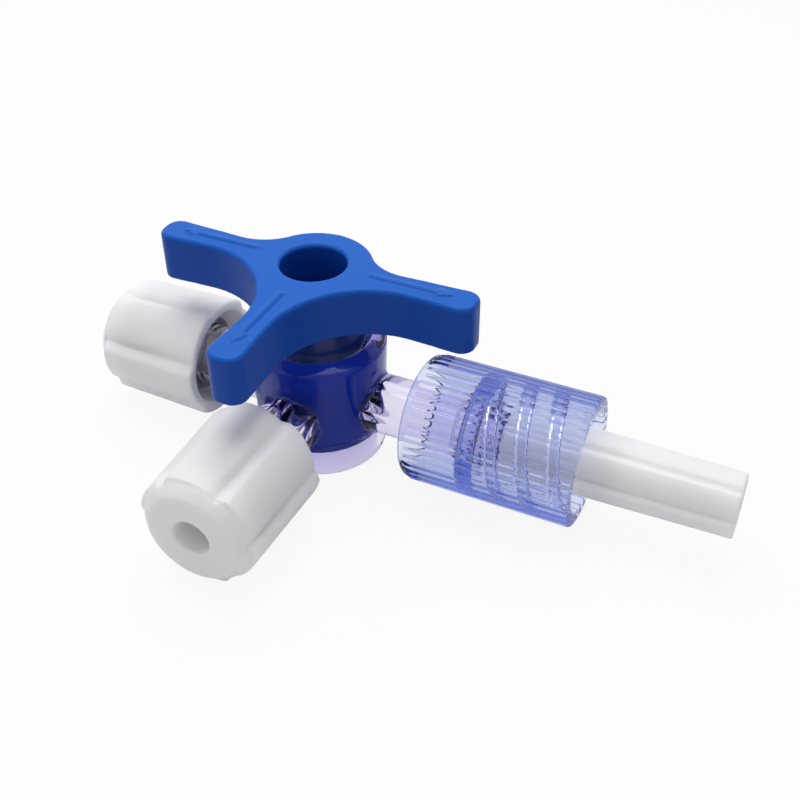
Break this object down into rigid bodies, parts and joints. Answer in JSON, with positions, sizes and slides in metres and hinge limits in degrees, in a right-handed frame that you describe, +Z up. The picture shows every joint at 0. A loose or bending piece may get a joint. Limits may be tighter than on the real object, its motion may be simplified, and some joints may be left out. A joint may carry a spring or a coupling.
{
  "type": "three way stopcock",
  "caption": "Clear three-way luer stopcock with a three-armed blue handle, a ribbed rotating lock collar, capped side ports and a capped male tip.",
  "frame": {"origin": "centre of the barrel's foot, on the surface that it stands on", "axes": "+Z up the plug's axis, +X along the male arm, -Y along the side port"},
  "size_m": [0.0541, 0.025, 0.0176],
  "materials": {
    "clear_moulding": "polished clear polycarbonate",
    "clear_collar": "clear polycarbonate, finely ribbed",
    "blue_moulding": "satin polyethylene",
    "white_moulding": "soft satin"
  },
  "bodies": {
    "body": {"clear_body": "clear_moulding"},
    "handle": {"handle_plug": "blue_moulding"},
    "collar": {"lock_collar": "clear_collar"},
    "end_cap": {"end_port_cap": "white_moulding"},
    "side_cap": {"side_port_cap": "white_moulding"},
    "tip_cap": {"tip_cap": "white_moulding"}
  },
  "joints": [
    {"name": "handle_turn", "type": "hinge", "parent": "body", "child": "handle", "pos_m": [0, 0, 0.0054], "axis": [0, 0, 1], "continuous": true},
    {"name": "collar_spin", "type": "hinge", "parent": "body", "child": "collar", "pos_m": [0.0146, 0, 0.0054], "axis": [1, 0, 0], "continuous": true},
    {"name": "end_cap_pull", "type": "slide", "parent": "body", "child": "end_cap", "axis": [-1, 0, 0], "range_m": [0, 0.01]},
    {"name": "side_cap_pull", "type": "slide", "parent": "body", "child": "side_cap", "axis": [0, -1, 0], "range_m": [0, 0.01]},
    {"name": "tip_cap_pull", "type": "slide", "parent": "body", "child": "tip_cap", "axis": [1, 0, 0], "range_m": [0, 0.012]}
  ]
}
